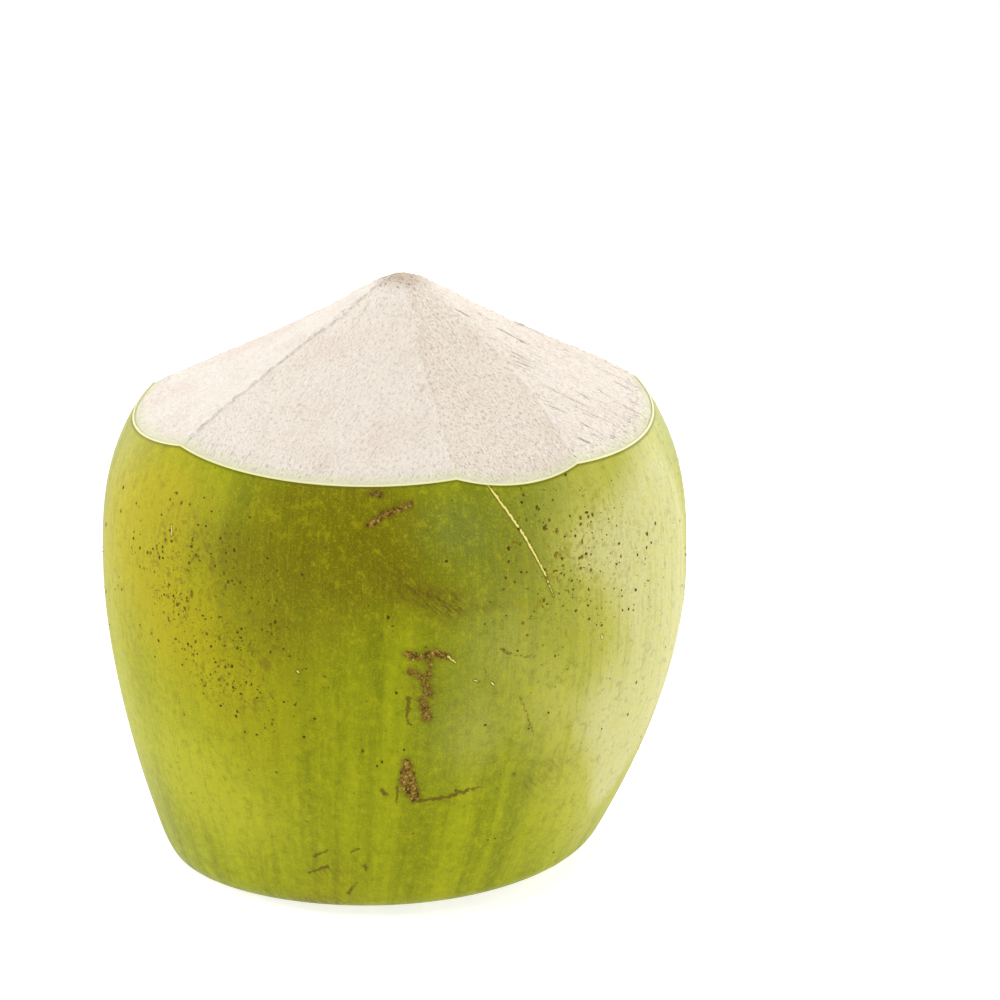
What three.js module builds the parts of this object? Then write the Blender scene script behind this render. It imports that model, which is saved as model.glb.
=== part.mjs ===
// A green drinking coconut. The top is shaved with a knife to a low cone of white husk, and the
// foot is cut flat so that the fruit stands. It is one solid: skin, husk and nut grew as one fruit.
// Millimetres and degrees, +Z up. The foot's cut lies on z = 0, and -Y is the front.
// Azimuths are counted from the front, and grow towards +X.
import * as THREE from "three";

// The barrel of green skin
const bellyRadius = 75;
const bellyHeight = 75;
const lowerTaper = 20;
const lowerTaperPower = 1.76;
const shoulderHeight = 43;
const shoulderTaper = 9.4;
const shoulderTaperPower = 3;
const shoulderLean = 0.3;
const heelHeight = 8;
const heelInset = 7.8;
const heelPower = 3;

// The fruit leans as it grew, and the foot was cut a little aslant: both move the foot to -X.
const footLean = 5.3;
const footLeanPower = 1.8;
const heelLean = 7.5;

// The fruit's three soft sides, which are strongest at the foot
const sideCount = 3;
const sideDepth = 0.008;
const footSideDepth = 0.002;
const sideAzimuth = -88;

// The cone that the knife left
const tipHeight = 151.4;
const tipOffsetX = 1.8;
const tipBluntness = 7.1;
const coneSlope = 0.507;
const tipDip = 4;
const tipDipReach = 12.4;
const strokeDepth = 0.043;
const shoulderPower = 14;
const skinThickness = 0.9;
const huskStep = 0.3;
const huskStepWidth = 0.5;

// The ridges between one knife stroke and the next, round the rim. Swing is how far a ridge has
// turned by the time that it reaches the tip. Lift is how much higher the cone's edge stands there,
// and shoulder is how far its last few millimetres round down again to the rim.
const ridges = [
  { azimuth: -104, swing: -6, lift: 2.8, shoulder: 0.7 },
  { azimuth: -54, swing: -11, lift: 1.9, shoulder: 0.9 },
  { azimuth: 12, swing: -5, lift: 0.4, shoulder: 0.7 },
  { azimuth: 40, swing: 22, lift: 0, shoulder: 0.9 },
  { azimuth: 103, swing: 14, lift: 1.9, shoulder: 1.1 },
  { azimuth: 141, swing: 6, lift: 1.7, shoulder: 0.6 },
  { azimuth: 180, swing: -8, lift: 0.9, shoulder: 2.2 },
  { azimuth: 219, swing: -12, lift: -4, shoulder: 6.4 },
];

// How finely the solid is faceted
const columnsPerStroke = 15;
const skinRows = 24;
const coneRows = 13;
const footRings = 3;

const radians = THREE.MathUtils.degToRad;
const fromFront = (azimuth, radius) => new THREE.Vector2(radius * Math.sin(azimuth), -radius * Math.cos(azimuth));

// The skin at a height and an azimuth, as a point in plan.
function skinPoint(height, azimuth) {
  const below = Math.max(bellyHeight - height, 0) / bellyHeight;
  const above = Math.max(height - bellyHeight, 0) / shoulderHeight;
  const heel = Math.max(1 - height / heelHeight, 0) ** heelPower;
  const round =
    bellyRadius -
    lowerTaper * below ** lowerTaperPower -
    shoulderTaper * above ** shoulderTaperPower -
    heelInset * heel;
  const depth = sideDepth + footSideDepth * below ** 2;
  const sides = 1 + depth * Math.cos(sideCount * (azimuth - radians(sideAzimuth)));
  const point = fromFront(azimuth, round * sides);
  point.x += shoulderLean * above ** 2 - footLean * below ** footLeanPower - heelLean * heel;
  return point;
}

// The height of the knife's cut on a column, at a distance from the tip's axis. A stroke cuts
// deepest in its middle, halfway across from one ridge to the next.
function cutHeight(column, distance, rimShare) {
  const stroke = 1 + strokeDepth * (1 - (2 * column.across - 1) ** 2);
  const run = Math.hypot(distance * stroke, tipBluntness) - tipBluntness;
  const dip = tipDip * (1 - Math.exp(-run / tipDipReach));
  const edge = column.lift * rimShare ** 2 - column.shoulder * rimShare ** shoulderPower;
  return tipHeight - coneSlope * run - dip + edge;
}

// The height at which a column of the skin meets the cut.
function rimHeight(column) {
  let low = bellyHeight;
  let high = tipHeight;
  for (let step = 0; step < 40; step++) {
    const middle = (low + high) / 2;
    const point = skinPoint(middle, column.azimuth);
    const distance = Math.hypot(point.x - tipOffsetX, point.y);
    if (cutHeight(column, distance, 1) > middle) low = middle;
    else high = middle;
  }
  return low;
}

// The columns of the mesh: each knife stroke has the same number, so that every ridge is an edge.
function makeColumns() {
  const columns = [];
  ridges.forEach((ridge, i) => {
    const next = ridges[(i + 1) % ridges.length];
    const nextAzimuth = next.azimuth + (next.azimuth < ridge.azimuth ? 360 : 0);
    for (let step = 0; step < columnsPerStroke; step++) {
      const across = step / columnsPerStroke;
      const between = (from, to) => THREE.MathUtils.lerp(from, to, across);
      columns.push({
        across,
        azimuth: radians(between(ridge.azimuth, nextAzimuth)),
        swing: radians(between(ridge.swing, next.swing)),
        lift: between(ridge.lift, next.lift),
        shoulder: between(ridge.shoulder, next.shoulder),
      });
    }
  });
  return columns;
}

// The points of one column, from the foot's outer edge up the skin, over the rim and to the tip.
function columnPoints(column) {
  const points = [];
  const top = rimHeight(column);
  for (let row = 0; row <= skinRows; row++) {
    const share = row / skinRows;
    const height = top * share ** 1.35;
    const point = skinPoint(height, column.azimuth);
    points.push(new THREE.Vector3(point.x, point.y, height));
  }
  const rim = points[points.length - 1];
  const reach = Math.hypot(rim.x - tipOffsetX, rim.y);
  const rimAzimuth = Math.atan2(rim.x - tipOffsetX, -rim.y);
  const conePoint = (share, drop) => {
    const point = fromFront(rimAzimuth + column.swing * (1 - share), reach * share);
    const height = cutHeight(column, reach * share, share);
    return new THREE.Vector3(point.x + tipOffsetX, point.y, height - drop);
  };
  const skinShare = 1 - skinThickness / reach;
  const huskShare = skinShare - huskStepWidth / reach;
  points.push(conePoint(skinShare, 0));
  for (let row = 0; row < coneRows; row++) {
    const share = huskShare * (1 - row / coneRows) ** 1.4;
    points.push(conePoint(share, huskStep * share));
  }
  return points;
}

// The whole fruit as one closed mesh: rings round the flat foot, the columns, and the tip.
function makeCoconut() {
  const columns = makeColumns().map(columnPoints);
  const around = columns.length;
  const footCentre = new THREE.Vector3(-footLean - heelLean, 0, 0);
  const rings = [];
  for (let ring = 1; ring < footRings; ring++) {
    rings.push(columns.map((points) => footCentre.clone().lerp(points[0], ring / footRings)));
  }
  for (let row = 0; row < columns[0].length; row++) {
    rings.push(columns.map((points) => points[row]));
  }
  const vertices = [footCentre, ...rings.flat(), new THREE.Vector3(tipOffsetX, 0, tipHeight)];
  const tip = vertices.length - 1;
  const at = (ring, column) => 1 + ring * around + (column % around);
  const faces = [];
  for (let column = 0; column < around; column++) {
    faces.push(0, at(0, column + 1), at(0, column));
    faces.push(tip, at(rings.length - 1, column), at(rings.length - 1, column + 1));
    for (let ring = 0; ring < rings.length - 1; ring++) {
      const a = at(ring, column);
      const b = at(ring, column + 1);
      const c = at(ring + 1, column + 1);
      const d = at(ring + 1, column);
      faces.push(a, b, c, a, c, d);
    }
  }
  const geometry = new THREE.BufferGeometry().setFromPoints(vertices);
  geometry.setIndex(faces);
  // The origin is under the middle of the fruit's box.
  geometry.computeBoundingBox();
  const middle = geometry.boundingBox.getCenter(new THREE.Vector3());
  geometry.translate(-middle.x, -middle.y, 0);
  geometry.computeVertexNormals();
  return geometry;
}

const greenSkin = new THREE.MeshStandardMaterial({ color: 0x9aa820, roughness: 0.45, metalness: 0 });
const coconut = new THREE.Mesh(makeCoconut(), greenSkin);
coconut.name = "green_coconut";

const part = new THREE.Group();
part.add(coconut);

export default part;
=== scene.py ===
import math

import bpy
import numpy as np
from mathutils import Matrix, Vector
from mathutils.bvhtree import BVHTree


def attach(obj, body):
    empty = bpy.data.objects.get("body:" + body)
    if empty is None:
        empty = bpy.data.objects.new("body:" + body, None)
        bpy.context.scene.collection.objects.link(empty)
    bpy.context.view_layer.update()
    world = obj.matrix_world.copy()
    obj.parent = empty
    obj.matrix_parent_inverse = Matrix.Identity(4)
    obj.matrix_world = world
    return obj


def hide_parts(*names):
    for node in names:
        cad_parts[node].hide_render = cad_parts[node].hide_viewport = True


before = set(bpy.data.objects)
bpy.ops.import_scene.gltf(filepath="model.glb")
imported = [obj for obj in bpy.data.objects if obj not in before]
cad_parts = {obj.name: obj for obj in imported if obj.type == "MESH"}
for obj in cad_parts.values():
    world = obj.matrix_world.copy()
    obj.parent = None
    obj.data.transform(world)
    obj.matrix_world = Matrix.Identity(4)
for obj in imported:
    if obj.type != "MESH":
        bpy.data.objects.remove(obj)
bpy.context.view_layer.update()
print("frame loaded:", sorted(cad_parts))

millimetre = 0.001

# The fruit's form, by the same rule and values as the solid's source.
fruit = {
    "bellyRadius": 75, "bellyHeight": 75, "lowerTaper": 20, "lowerTaperPower": 1.76,
    "shoulderHeight": 43, "shoulderTaper": 9.4, "shoulderTaperPower": 3, "shoulderLean": 0.3,
    "heelHeight": 8, "heelInset": 7.8, "heelPower": 3,
    "footLean": 5.3, "footLeanPower": 1.8, "heelLean": 7.5,
    "sideCount": 3, "sideDepth": 0.008, "footSideDepth": 0.002, "sideAzimuth": -88,
    "tipHeight": 151.4, "tipOffsetX": 1.8, "tipBluntness": 7.1, "coneSlope": 0.507,
    "tipDip": 4, "tipDipReach": 12.4, "strokeDepth": 0.043, "shoulderPower": 14, "huskStep": 0.3,
}
ridges = [  # between one knife stroke and the next
    {"azimuth": -104, "swing": -6, "lift": 2.8, "shoulder": 0.7},
    {"azimuth": -54, "swing": -11, "lift": 1.9, "shoulder": 0.9},
    {"azimuth": 12, "swing": -5, "lift": 0.4, "shoulder": 0.7},
    {"azimuth": 40, "swing": 22, "lift": 0, "shoulder": 0.9},
    {"azimuth": 103, "swing": 14, "lift": 1.9, "shoulder": 1.1},
    {"azimuth": 141, "swing": 6, "lift": 1.7, "shoulder": 0.6},
    {"azimuth": 180, "swing": -8, "lift": 0.9, "shoulder": 2.2},
    {"azimuth": 219, "swing": -12, "lift": -4, "shoulder": 6.4},
]
strokes = []  # the two ridges of each knife stroke
for ridge, following in zip(ridges, ridges[1:] + ridges[:1]):
    turn = 360 if following["azimuth"] < ridge["azimuth"] else 0
    strokes.append((ridge, {**following, "azimuth": following["azimuth"] + turn}))


def skinPlan(height, azimuth):
    below = np.maximum(fruit["bellyHeight"] - height, 0) / fruit["bellyHeight"]
    above = np.maximum(height - fruit["bellyHeight"], 0) / fruit["shoulderHeight"]
    heel = np.maximum(1 - height / fruit["heelHeight"], 0) ** fruit["heelPower"]
    radius = (fruit["bellyRadius"] - fruit["lowerTaper"] * below ** fruit["lowerTaperPower"]
              - fruit["shoulderTaper"] * above ** fruit["shoulderTaperPower"] - fruit["heelInset"] * heel)
    depth = fruit["sideDepth"] + fruit["footSideDepth"] * below ** 2
    fromSide = azimuth - math.radians(fruit["sideAzimuth"])
    radius = radius * (1 + depth * np.cos(fruit["sideCount"] * fromSide))
    lean = (fruit["shoulderLean"] * above ** 2 - fruit["footLean"] * below ** fruit["footLeanPower"]
            - fruit["heelLean"] * heel)
    return radius * np.sin(azimuth) + lean, -radius * np.cos(azimuth)


def cutHeight(columns, distance, share):
    stroke = 1 + fruit["strokeDepth"] * (1 - (2 * columns["across"] - 1) ** 2)
    run = np.hypot(distance * stroke, fruit["tipBluntness"]) - fruit["tipBluntness"]
    dip = fruit["tipDip"] * (1 - np.exp(-run / fruit["tipDipReach"]))
    edge = columns["lift"] * share ** 2 - columns["shoulder"] * share ** fruit["shoulderPower"]
    return fruit["tipHeight"] - fruit["coneSlope"] * run - dip + edge


def makeColumns(perDegree):
    # The columns of a mesh, stroke by stroke, and the rim's height and reach on each.
    columns = {key: [] for key in ("stroke", "across", *ridges[0])}
    for number, (ridge, following) in enumerate(strokes):
        count = round((following["azimuth"] - ridge["azimuth"]) * perDegree)
        across = np.arange(count) / count
        columns["stroke"].append(np.full(count, number))
        columns["across"].append(across)
        for key in ridge:
            columns[key].append(ridge[key] + (following[key] - ridge[key]) * across)
    columns = {key: np.concatenate(value) for key, value in columns.items()}
    columns["azimuth"] = np.radians(columns["azimuth"])
    columns["swing"] = np.radians(columns["swing"])
    low = np.full(len(columns["across"]), float(fruit["bellyHeight"]))
    high = np.full(len(low), float(fruit["tipHeight"]))
    for _ in range(40):
        middle = (low + high) / 2
        x, y = skinPlan(middle, columns["azimuth"])
        cut = cutHeight(columns, np.hypot(x - fruit["tipOffsetX"], y), 1.0)
        low, high = np.where(cut > middle, middle, low), np.where(cut > middle, high, middle)
    x, y = skinPlan(low, columns["azimuth"])
    columns["rim"] = low
    columns["reach"] = np.hypot(x - fruit["tipOffsetX"], y)
    columns["rimAzimuth"] = np.arctan2(x - fruit["tipOffsetX"], -y)
    return columns


def coneRing(columns, share, drop):
    azimuth = columns["rimAzimuth"] + columns["swing"] * (1 - share)
    distance = columns["reach"] * share
    x, y = distance * np.sin(azimuth) + fruit["tipOffsetX"], -distance * np.cos(azimuth)
    return np.stack([x, y, cutHeight(columns, distance, share) - drop], -1)


def skinRing(columns, height, inset=0.0):
    x, y = skinPlan(height, columns["azimuth"])
    away = np.stack([np.sin(columns["azimuth"]), -np.cos(columns["azimuth"])], -1)
    return np.stack([x - away[:, 0] * inset, y - away[:, 1] * inset, np.broadcast_to(height, x.shape)], -1)


def boxMiddle():
    # The solid stands with its box's middle on the axis, and the form's rule doesn't.
    columns = makeColumns(1.5)
    x, y = skinPlan(np.linspace(40, 110, 141)[:, None], columns["azimuth"])
    return np.array([(x.min() + x.max()) / 2, (y.min() + y.max()) / 2, 0])


middle = boxMiddle()
print("box middle:", middle)


def newObject(name, data):
    made = bpy.data.objects.new(name, data)
    bpy.context.scene.collection.objects.link(made)
    return made


def writeAttribute(mesh, name, values):
    # A number, a vector or a colour for each point of a mesh.
    kinds = {1: ("FLOAT", "value"), 3: ("FLOAT_VECTOR", "vector"), 4: ("FLOAT_COLOR", "color")}
    kind, field = kinds[values[0].size]
    layer = mesh.attributes.new(name, kind, "POINT")
    layer.data.foreach_set(field, values.astype(np.float32).ravel())


def loopMesh(name, rings, startPole, endPole, attributes):
    # Quads between closed rings, with a fan of triangles at each pole.
    rows, around = rings.shape[:2]
    points = np.concatenate([rings.reshape(-1, 3), [startPole, endPole]])
    row, column = np.meshgrid(np.arange(rows - 1), np.arange(around), indexing="ij")
    beside = (column + 1) % around
    faces = np.stack([row * around + column, row * around + beside, (row + 1) * around + beside,
                      (row + 1) * around + column], -1).reshape(-1, 4).tolist()
    last = (rows - 1) * around
    for column in range(around):
        beside = (column + 1) % around
        faces += [[rows * around, beside, column], [rows * around + 1, last + column, last + beside]]
    mesh = bpy.data.meshes.new(name)
    mesh.from_pydata(((points - middle) / 1000).tolist(), [], faces)
    mesh.update()
    mesh.polygons.foreach_set("use_smooth", np.ones(len(mesh.polygons), bool))
    for key, values in attributes.items():
        writeAttribute(mesh, key, np.concatenate([values, values[:1], values[-1:]]))
    return newObject(name, mesh)


class Wire:
    # One socket of a node tree. Sums and products of wires add Math nodes.
    def __init__(self, tree, socket=None):
        self.tree, self.socket = tree, socket

    def node(self, kind, settings=None, values=None, output=0):
        made = self.tree.nodes.new(kind)
        for name, value in (settings or {}).items():
            setattr(made, name, value)
        open_ = [socket for socket in made.inputs if socket.enabled]
        for name, value in (values or {}).items():
            target = open_[name] if isinstance(name, int) else next(s for s in open_ if s.name == name)
            if isinstance(value, Wire):
                self.tree.links.new(value.socket, target)
            else:
                target.default_value = value
        return Wire(self.tree, made.outputs[0]).other(output)

    def other(self, output):
        # Another output of the same node.
        shown = [socket for socket in self.socket.node.outputs if socket.enabled]
        found = shown[output] if isinstance(output, int) else next(s for s in shown if s.name == output)
        return Wire(self.tree, found)

    def math(self, operation, *values):
        return self.node("ShaderNodeMath", {"operation": operation}, dict(enumerate(values)))

    def vector(self, operation, *values):
        return self.node("ShaderNodeVectorMath", {"operation": operation}, dict(enumerate((self, *values))))

    def __add__(self, other):
        return self.math("ADD", self, other)

    def __sub__(self, other):
        return self.math("SUBTRACT", self, other)

    def __rsub__(self, other):
        return self.math("SUBTRACT", other, self)

    def __mul__(self, other):
        return self.math("MULTIPLY", self, other)

    def __truediv__(self, other):
        return self.math("DIVIDE", self, other)

    def __rtruediv__(self, other):
        return self.math("DIVIDE", other, self)

    def __pow__(self, other):
        return self.math("POWER", self, other)

    def __abs__(self):
        return self.math("ABSOLUTE", self)

    __radd__, __rmul__ = __add__, __mul__

    def least(self, other):
        return self.math("MINIMUM", self, other)

    def held(self):
        # The same, kept between 0 and 1.
        return self.node("ShaderNodeMath", {"operation": "ADD", "use_clamp": True}, {0: self, 1: 0.0})

    def rise(self, low, high):
        # 0 below low and 1 above high, with a soft step between. High may be the smaller one.
        back = high < low
        low, high = min(low, high), max(low, high)
        return self.node("ShaderNodeMapRange", {"interpolation_type": "SMOOTHSTEP"},
                         {"Value": self, "From Min": low, "From Max": high,
                          "To Min": float(back), "To Max": float(not back)})

    def join(self, x, y, z):
        return self.node("ShaderNodeCombineXYZ", None, {"X": x, "Y": y, "Z": z})

    def split(self):
        parts = self.node("ShaderNodeSeparateXYZ", None, {"Vector": self})
        return parts, parts.other("Y"), parts.other("Z")

    def noise(self, scale, detail=2.0, roughness=0.5, output="Fac"):
        return self.node("ShaderNodeTexNoise", None,
                         {"Vector": self, "Scale": scale, "Detail": detail, "Roughness": roughness}, output)

    def wander(self, scale, detail, roughness):
        # A vector that wanders up to 0.5 either way.
        return self.noise(scale, detail, roughness, "Color").vector("SUBTRACT", (0.5, 0.5, 0.5))

    def blend(self, first, second):
        # Mixes two colours by this wire.
        return self.node("ShaderNodeMix", {"data_type": "RGBA", "clamp_factor": True},
                         {"Factor": self, "A": first, "B": second})

    def spot(self):
        # The place on the piece in a material, in millimetres.
        return self.node("ShaderNodeTexCoord", None, None, "Object").vector("SCALE", 1 / millimetre)

    def read(self, name, output="Fac"):
        # A surface attribute in a material.
        return self.node("ShaderNodeAttribute", {"attribute_name": name}, None, output)

    def position(self):
        # The place on the piece in a geometry tree, in millimetres.
        return self.node("GeometryNodeInputPosition").vector("SCALE", 1 / millimetre)

    def field(self, name, kind="FLOAT"):
        # A surface attribute in a geometry tree.
        return self.node("GeometryNodeInputNamedAttribute", {"data_type": kind}, {"Name": name}, "Attribute")

    def moved(self, offset):
        return self.node("GeometryNodeSetPosition", None, {"Geometry": self, "Offset": offset})

    def raised(self, height):
        # Moved along its normals, by millimetres.
        return self.moved(self.node("GeometryNodeInputNormal").vector("SCALE", height * millimetre))

    def whole(self):
        # These instances as plain geometry.
        return self.node("GeometryNodeRealizeInstances", None, {"Geometry": self})

    def ball(self, segments, rings):
        # A sphere to strew, a millimetre in radius.
        return self.node("GeometryNodeMeshUVSphere", None,
                         {"Segments": segments, "Rings": rings, "Radius": millimetre}, "Mesh")

    def draw(self, low, high, offset):
        # A number for each instance, with this wire and the offset as its seed.
        return self.node("FunctionNodeRandomValue", {"data_type": "FLOAT"},
                         {"Min": low, "Max": high, "Seed": self + offset})

    def crowd(self, density, seed):
        # Points strewn over this surface.
        return self.node("GeometryNodeDistributePointsOnFaces", {"distribute_method": "RANDOM"},
                         {"Mesh": self, "Density": density, "Seed": seed}, "Points")

    def strewn(self, shape, rotation, scale):
        # The shape on each of these points.
        return self.node("GeometryNodeInstanceOnPoints", None,
                         {"Points": self, "Instance": shape, "Rotation": rotation, "Scale": scale})

    def turned(self, axis, pivot, direction, rotation=None):
        values = {"Vector": direction} if rotation is None else {"Rotation": rotation, "Vector": direction}
        return self.node("FunctionNodeAlignRotationToVector", {"axis": axis, "pivot_axis": pivot}, values)


class Coat:
    # Colours laid over one another in turn, each by its own mask, which is kept between 0 and 1.
    # A colour is a name among the coat's colours, or a wire.
    def __init__(self, colours, mask, first, second):
        self.colours = colours
        self.top = mask.blend(colours[first], colours[second])

    def lay(self, mask, colour):
        self.top = mask.blend(self.top, self.colours.get(colour, colour))


def linear(part):
    # A part of a colour as it reads on a screen, 0 to 255, made linear.
    return ((part / 255 + 0.055) / 1.055) ** 2.4 if part > 10 else part / 255 / 12.92


def tints(colours):
    return {name: (*map(linear, parts), 1.0) for name, parts in colours.items()}


def newMaterial(name, constants):
    material = bpy.data.materials.new(name)
    material.use_nodes = True
    for key, value in constants.items():
        material.node_tree.nodes["Principled BSDF"].inputs[key].default_value = value
    return material, Wire(material.node_tree)


def finishMaterial(material, colour, roughness, height):
    bump = colour.node("ShaderNodeBump", None, {"Height": height, "Strength": 1.0, "Distance": millimetre},
                       "Normal")
    shader = material.node_tree.nodes["Principled BSDF"]
    for key, wire in (("Base Color", colour), ("Roughness", roughness), ("Normal", bump)):
        material.node_tree.links.new(wire.socket, shader.inputs[key])
    return material


def newGeometryTree(name, *sizes):
    # A geometry tree with an input for each size, under its name in the piece's dictionary.
    tree = bpy.data.node_groups.new(name, "GeometryNodeTree")
    kinds = {"Geometry": "Geometry", **dict.fromkeys(sizes, "Float"), "seed": "Int", "material": "Material"}
    for key, kind in kinds.items():
        tree.interface.new_socket(key, in_out="INPUT", socket_type="NodeSocket" + kind)
    tree.interface.new_socket("Geometry", in_out="OUTPUT", socket_type="NodeSocketGeometry")
    group = tree.nodes.new("NodeGroupInput")
    return {socket.name: Wire(tree, socket) for socket in group.outputs if socket.name}


def finishTree(wires, geometry):
    # Every tree ends in Realize Instances and Set Material.
    painted = geometry.node("GeometryNodeSetMaterial", None,
                            {"Geometry": geometry.whole(), "Material": wires["material"]})
    out = geometry.tree.nodes.new("NodeGroupOutput")
    geometry.tree.links.new(painted.socket, out.inputs[0])
    return geometry.tree


def growMesh(made, tree, sizes, material):
    # Runs a geometry tree on an object and keeps the result as its plain mesh.
    modifier = made.modifiers.new(tree.name, "NODES")
    modifier.node_group = tree
    values = {**sizes, "material": material}
    for item in tree.interface.items_tree:
        if item.in_out == "INPUT" and item.name in values:
            modifier[item.identifier] = values[item.name]
    depsgraph = bpy.context.evaluated_depsgraph_get()
    mesh = bpy.data.meshes.new_from_object(made.evaluated_get(depsgraph), preserve_all_data_layers=True,
                                           depsgraph=depsgraph)
    made.modifiers.remove(modifier)
    made.data = mesh
    mesh.name = made.name


def place(piece):
    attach(piece, "root")
    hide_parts("green_coconut")
    triangles = sum(len(p.vertices) - 2 for p in piece.data.polygons)
    print("piece", piece.name, triangles, "triangles")


skin = {
    "columnsPerDegree": 1.5, "rows": 140, "rowPower": 1.15, "innerInset": 1.5, "plugDrop": 3.0,
    "plugSink": 2, "footPlugHeight": 1.5,
    "edgeSteps": (0.14, 0.4), "edgeWidth": 0.6, "arcRadius": 72, "rippleRadius": 70.0,
    "rippleHeight": 0.16, "rippleWidth": 7.0, "dentHeight": 0.35, "dentWidth": 26.0, "seed": 3,
}
# Soft zones of the skin, each as (arc, height, half width, half height, strength). Arc is the way
# round the fruit from the front, on a radius of arcRadius.
zones = {
    "yellow": [
        (-72, 98, 15, 24, 0.9), (-58, 78, 17, 22, 0.8), (-38, 62, 16, 20, 0.5), (-94, 84, 14, 38, 0.9),
        (-62, 106, 12, 8, 0.6), (150, 50, 26, 40, 0.6), (205, 90, 20, 22, 0.6), (118, 40, 18, 30, 0.4)],
    "olive": [
        (-18, 100, 22, 14, 1.0), (-40, 98, 13, 12, 0.35), (-3, 102, 14, 11, 1.0), (-26, 80, 14, 10, 0.5),
        (27, 99, 7, 9, 0.4), (-18, 113, 20, 5, 0.7), (10, 90, 9, 7, 0.4), (172, 96, 26, 18, 0.7),
        (-140, 88, 22, 24, 0.6)],
    # Grey-green zones: the skin's waxy bloom, partly painted reflection of the bright surround.
    "bloomAndReflection": [
        (14, 107, 10, 8, 1.0), (28, 98, 12, 10, 0.5), (20, 84, 10, 12, 0.4), (14, 60, 9, 14, 0.5),
        (35, 110, 12, 7, 0.5), (118, 95, 20, 22, 0.7), (-165, 70, 20, 26, 0.5), (215, 45, 24, 18, 0.4)],
    # Pale zones: painted sheen where light glances off the right side and the back, partly the wax's own
    # bloom.
    "waxAndSheen": [
        (56, 96, 14, 26, 0.75), (74, 82, 14, 42, 1.0), (52, 52, 14, 20, 0.8), (88, 75, 13, 50, 0.9),
        (27, 78, 11, 11, 0.4), (19, 55, 8, 11, 0.4), (43, 98, 9, 13, 0.45), (36, 62, 9, 14, 0.4),
        (-118, 70, 12, 44, 0.45), (180, 60, 18, 30, 0.3), (68, 32, 12, 18, 0.9), (106, 68, 24, 46, 0.42)],
    "pale": [
        (-62, 38, 20, 16, 1.0), (-42, 26, 18, 12, 0.7), (-92, 50, 14, 34, 0.8), (58, 28, 18, 14, 0.7),
        (-10, 8, 40, 6, 0.25), (150, 22, 50, 14, 0.6), (-160, 26, 40, 14, 0.6)],
    "smear": [
        (-8, 103, 5, 5, 0.35), (-2, 97, 5, 4, 0.45), (3.5, 92, 4.5, 3, 0.75), (9, 89.5, 4.5, 2.6, 1.0),
        (12, 88, 2.5, 3.4, 0.9), (-18, 89, 5, 9, 0.35), (19, 87.5, 7, 1.4, 0.5), (36, 38, 4, 3.4, 0.5),
        (42, 41.5, 4, 4, 0.4), (-28, 98, 8, 6, 0.3), (-46, 99, 10, 7, 0.3), (5.5, 69, 4, 5, 0.5),
        (-17, 14, 8, 8, 0.35), (-19, 3.5, 10, 2.4, 0.9), (128, 62, 8, 5, 0.7), (182, 100, 10, 5, 0.6),
        (-150, 66, 5, 13, 0.5)],
    "specks": [
        (-60, 92, 12, 12, 1.0), (-33, 78, 8, 8, 1.0), (-48, 82, 16, 16, 0.6), (-36, 64, 12, 8, 1.0),
        (-48, 66, 6, 4, 1.0), (-50, 99, 16, 8, 0.6), (-31, 50, 4, 8, 0.35), (38, 100, 12, 14, 0.6),
        (52, 104, 10, 12, 0.42), (50, 86, 14, 14, 0.35), (34, 82, 8, 8, 0.5), (66, 96, 8, 14, 0.2),
        (130, 80, 24, 22, 0.45), (-125, 60, 24, 24, 0.4), (200, 70, 22, 30, 0.35), (0, 70, 80, 60, 0.035)],
}


def zoneField(name, arc, height):
    around = 2 * math.pi * skin["arcRadius"]
    field = np.zeros(arc.shape)
    for centre, up, halfWidth, halfHeight, strength in zones[name]:
        side = (arc - centre + around / 2) % around - around / 2
        field = field + strength * np.exp(-(side / halfWidth) ** 2 - ((height - up) / halfHeight) ** 2)
    return np.clip(field, 0, 1)


def makeSkin():
    columns = makeColumns(skin["columnsPerDegree"])
    shares = np.linspace(0, 1, skin["rows"] + 1) ** skin["rowPower"]
    rings = [skinRing(columns, columns["rim"] * share) for share in shares]
    # Above the rim's edge and under the foot, plugs that the husk hides close the skin.
    insets = (*skin["edgeSteps"], skin["edgeWidth"])
    over = [coneRing(columns, 1 - inset / columns["reach"], 0) for inset in insets]
    over += [over[-1] - [0, 0, skin["plugDrop"]]]
    overPole = np.array([0, 0, over[-1][:, 2].min() - skin["plugSink"]])
    over += [overPole + (over[-1] - overPole) * share for share in (0.8, 0.4)]
    under = [skinRing(columns, 0.0, skin["innerInset"])]
    under += [under[0] + [0, 0, skin["footPlugHeight"]]]
    underPole = under[1].mean(0)
    under += [underPole + (under[1] - underPole) * share for share in (0.7, 0.3)]
    rings = under[::-1] + rings + over
    outer = np.concatenate([np.zeros(len(under)), np.ones(skin["rows"] + 1), np.zeros(len(over))])
    points = np.stack(rings).reshape(-1, 3)
    arc = np.tile(columns["azimuth"], len(rings)) * skin["arcRadius"]
    fields = np.stack([zoneField(name, arc, points[:, 2]) for name in zones], -1)
    fromRim = np.tile(columns["rim"], len(rings)) - points[:, 2]
    return loopMesh("green_skin", np.stack(rings), startPole=underPole, endPole=overPole,
                    attributes={"outer": outer.repeat(len(columns["rim"])), "fromRim": fromRim,
                                "hues": fields[:, :4], "marks": fields[:, 4:]})


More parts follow.
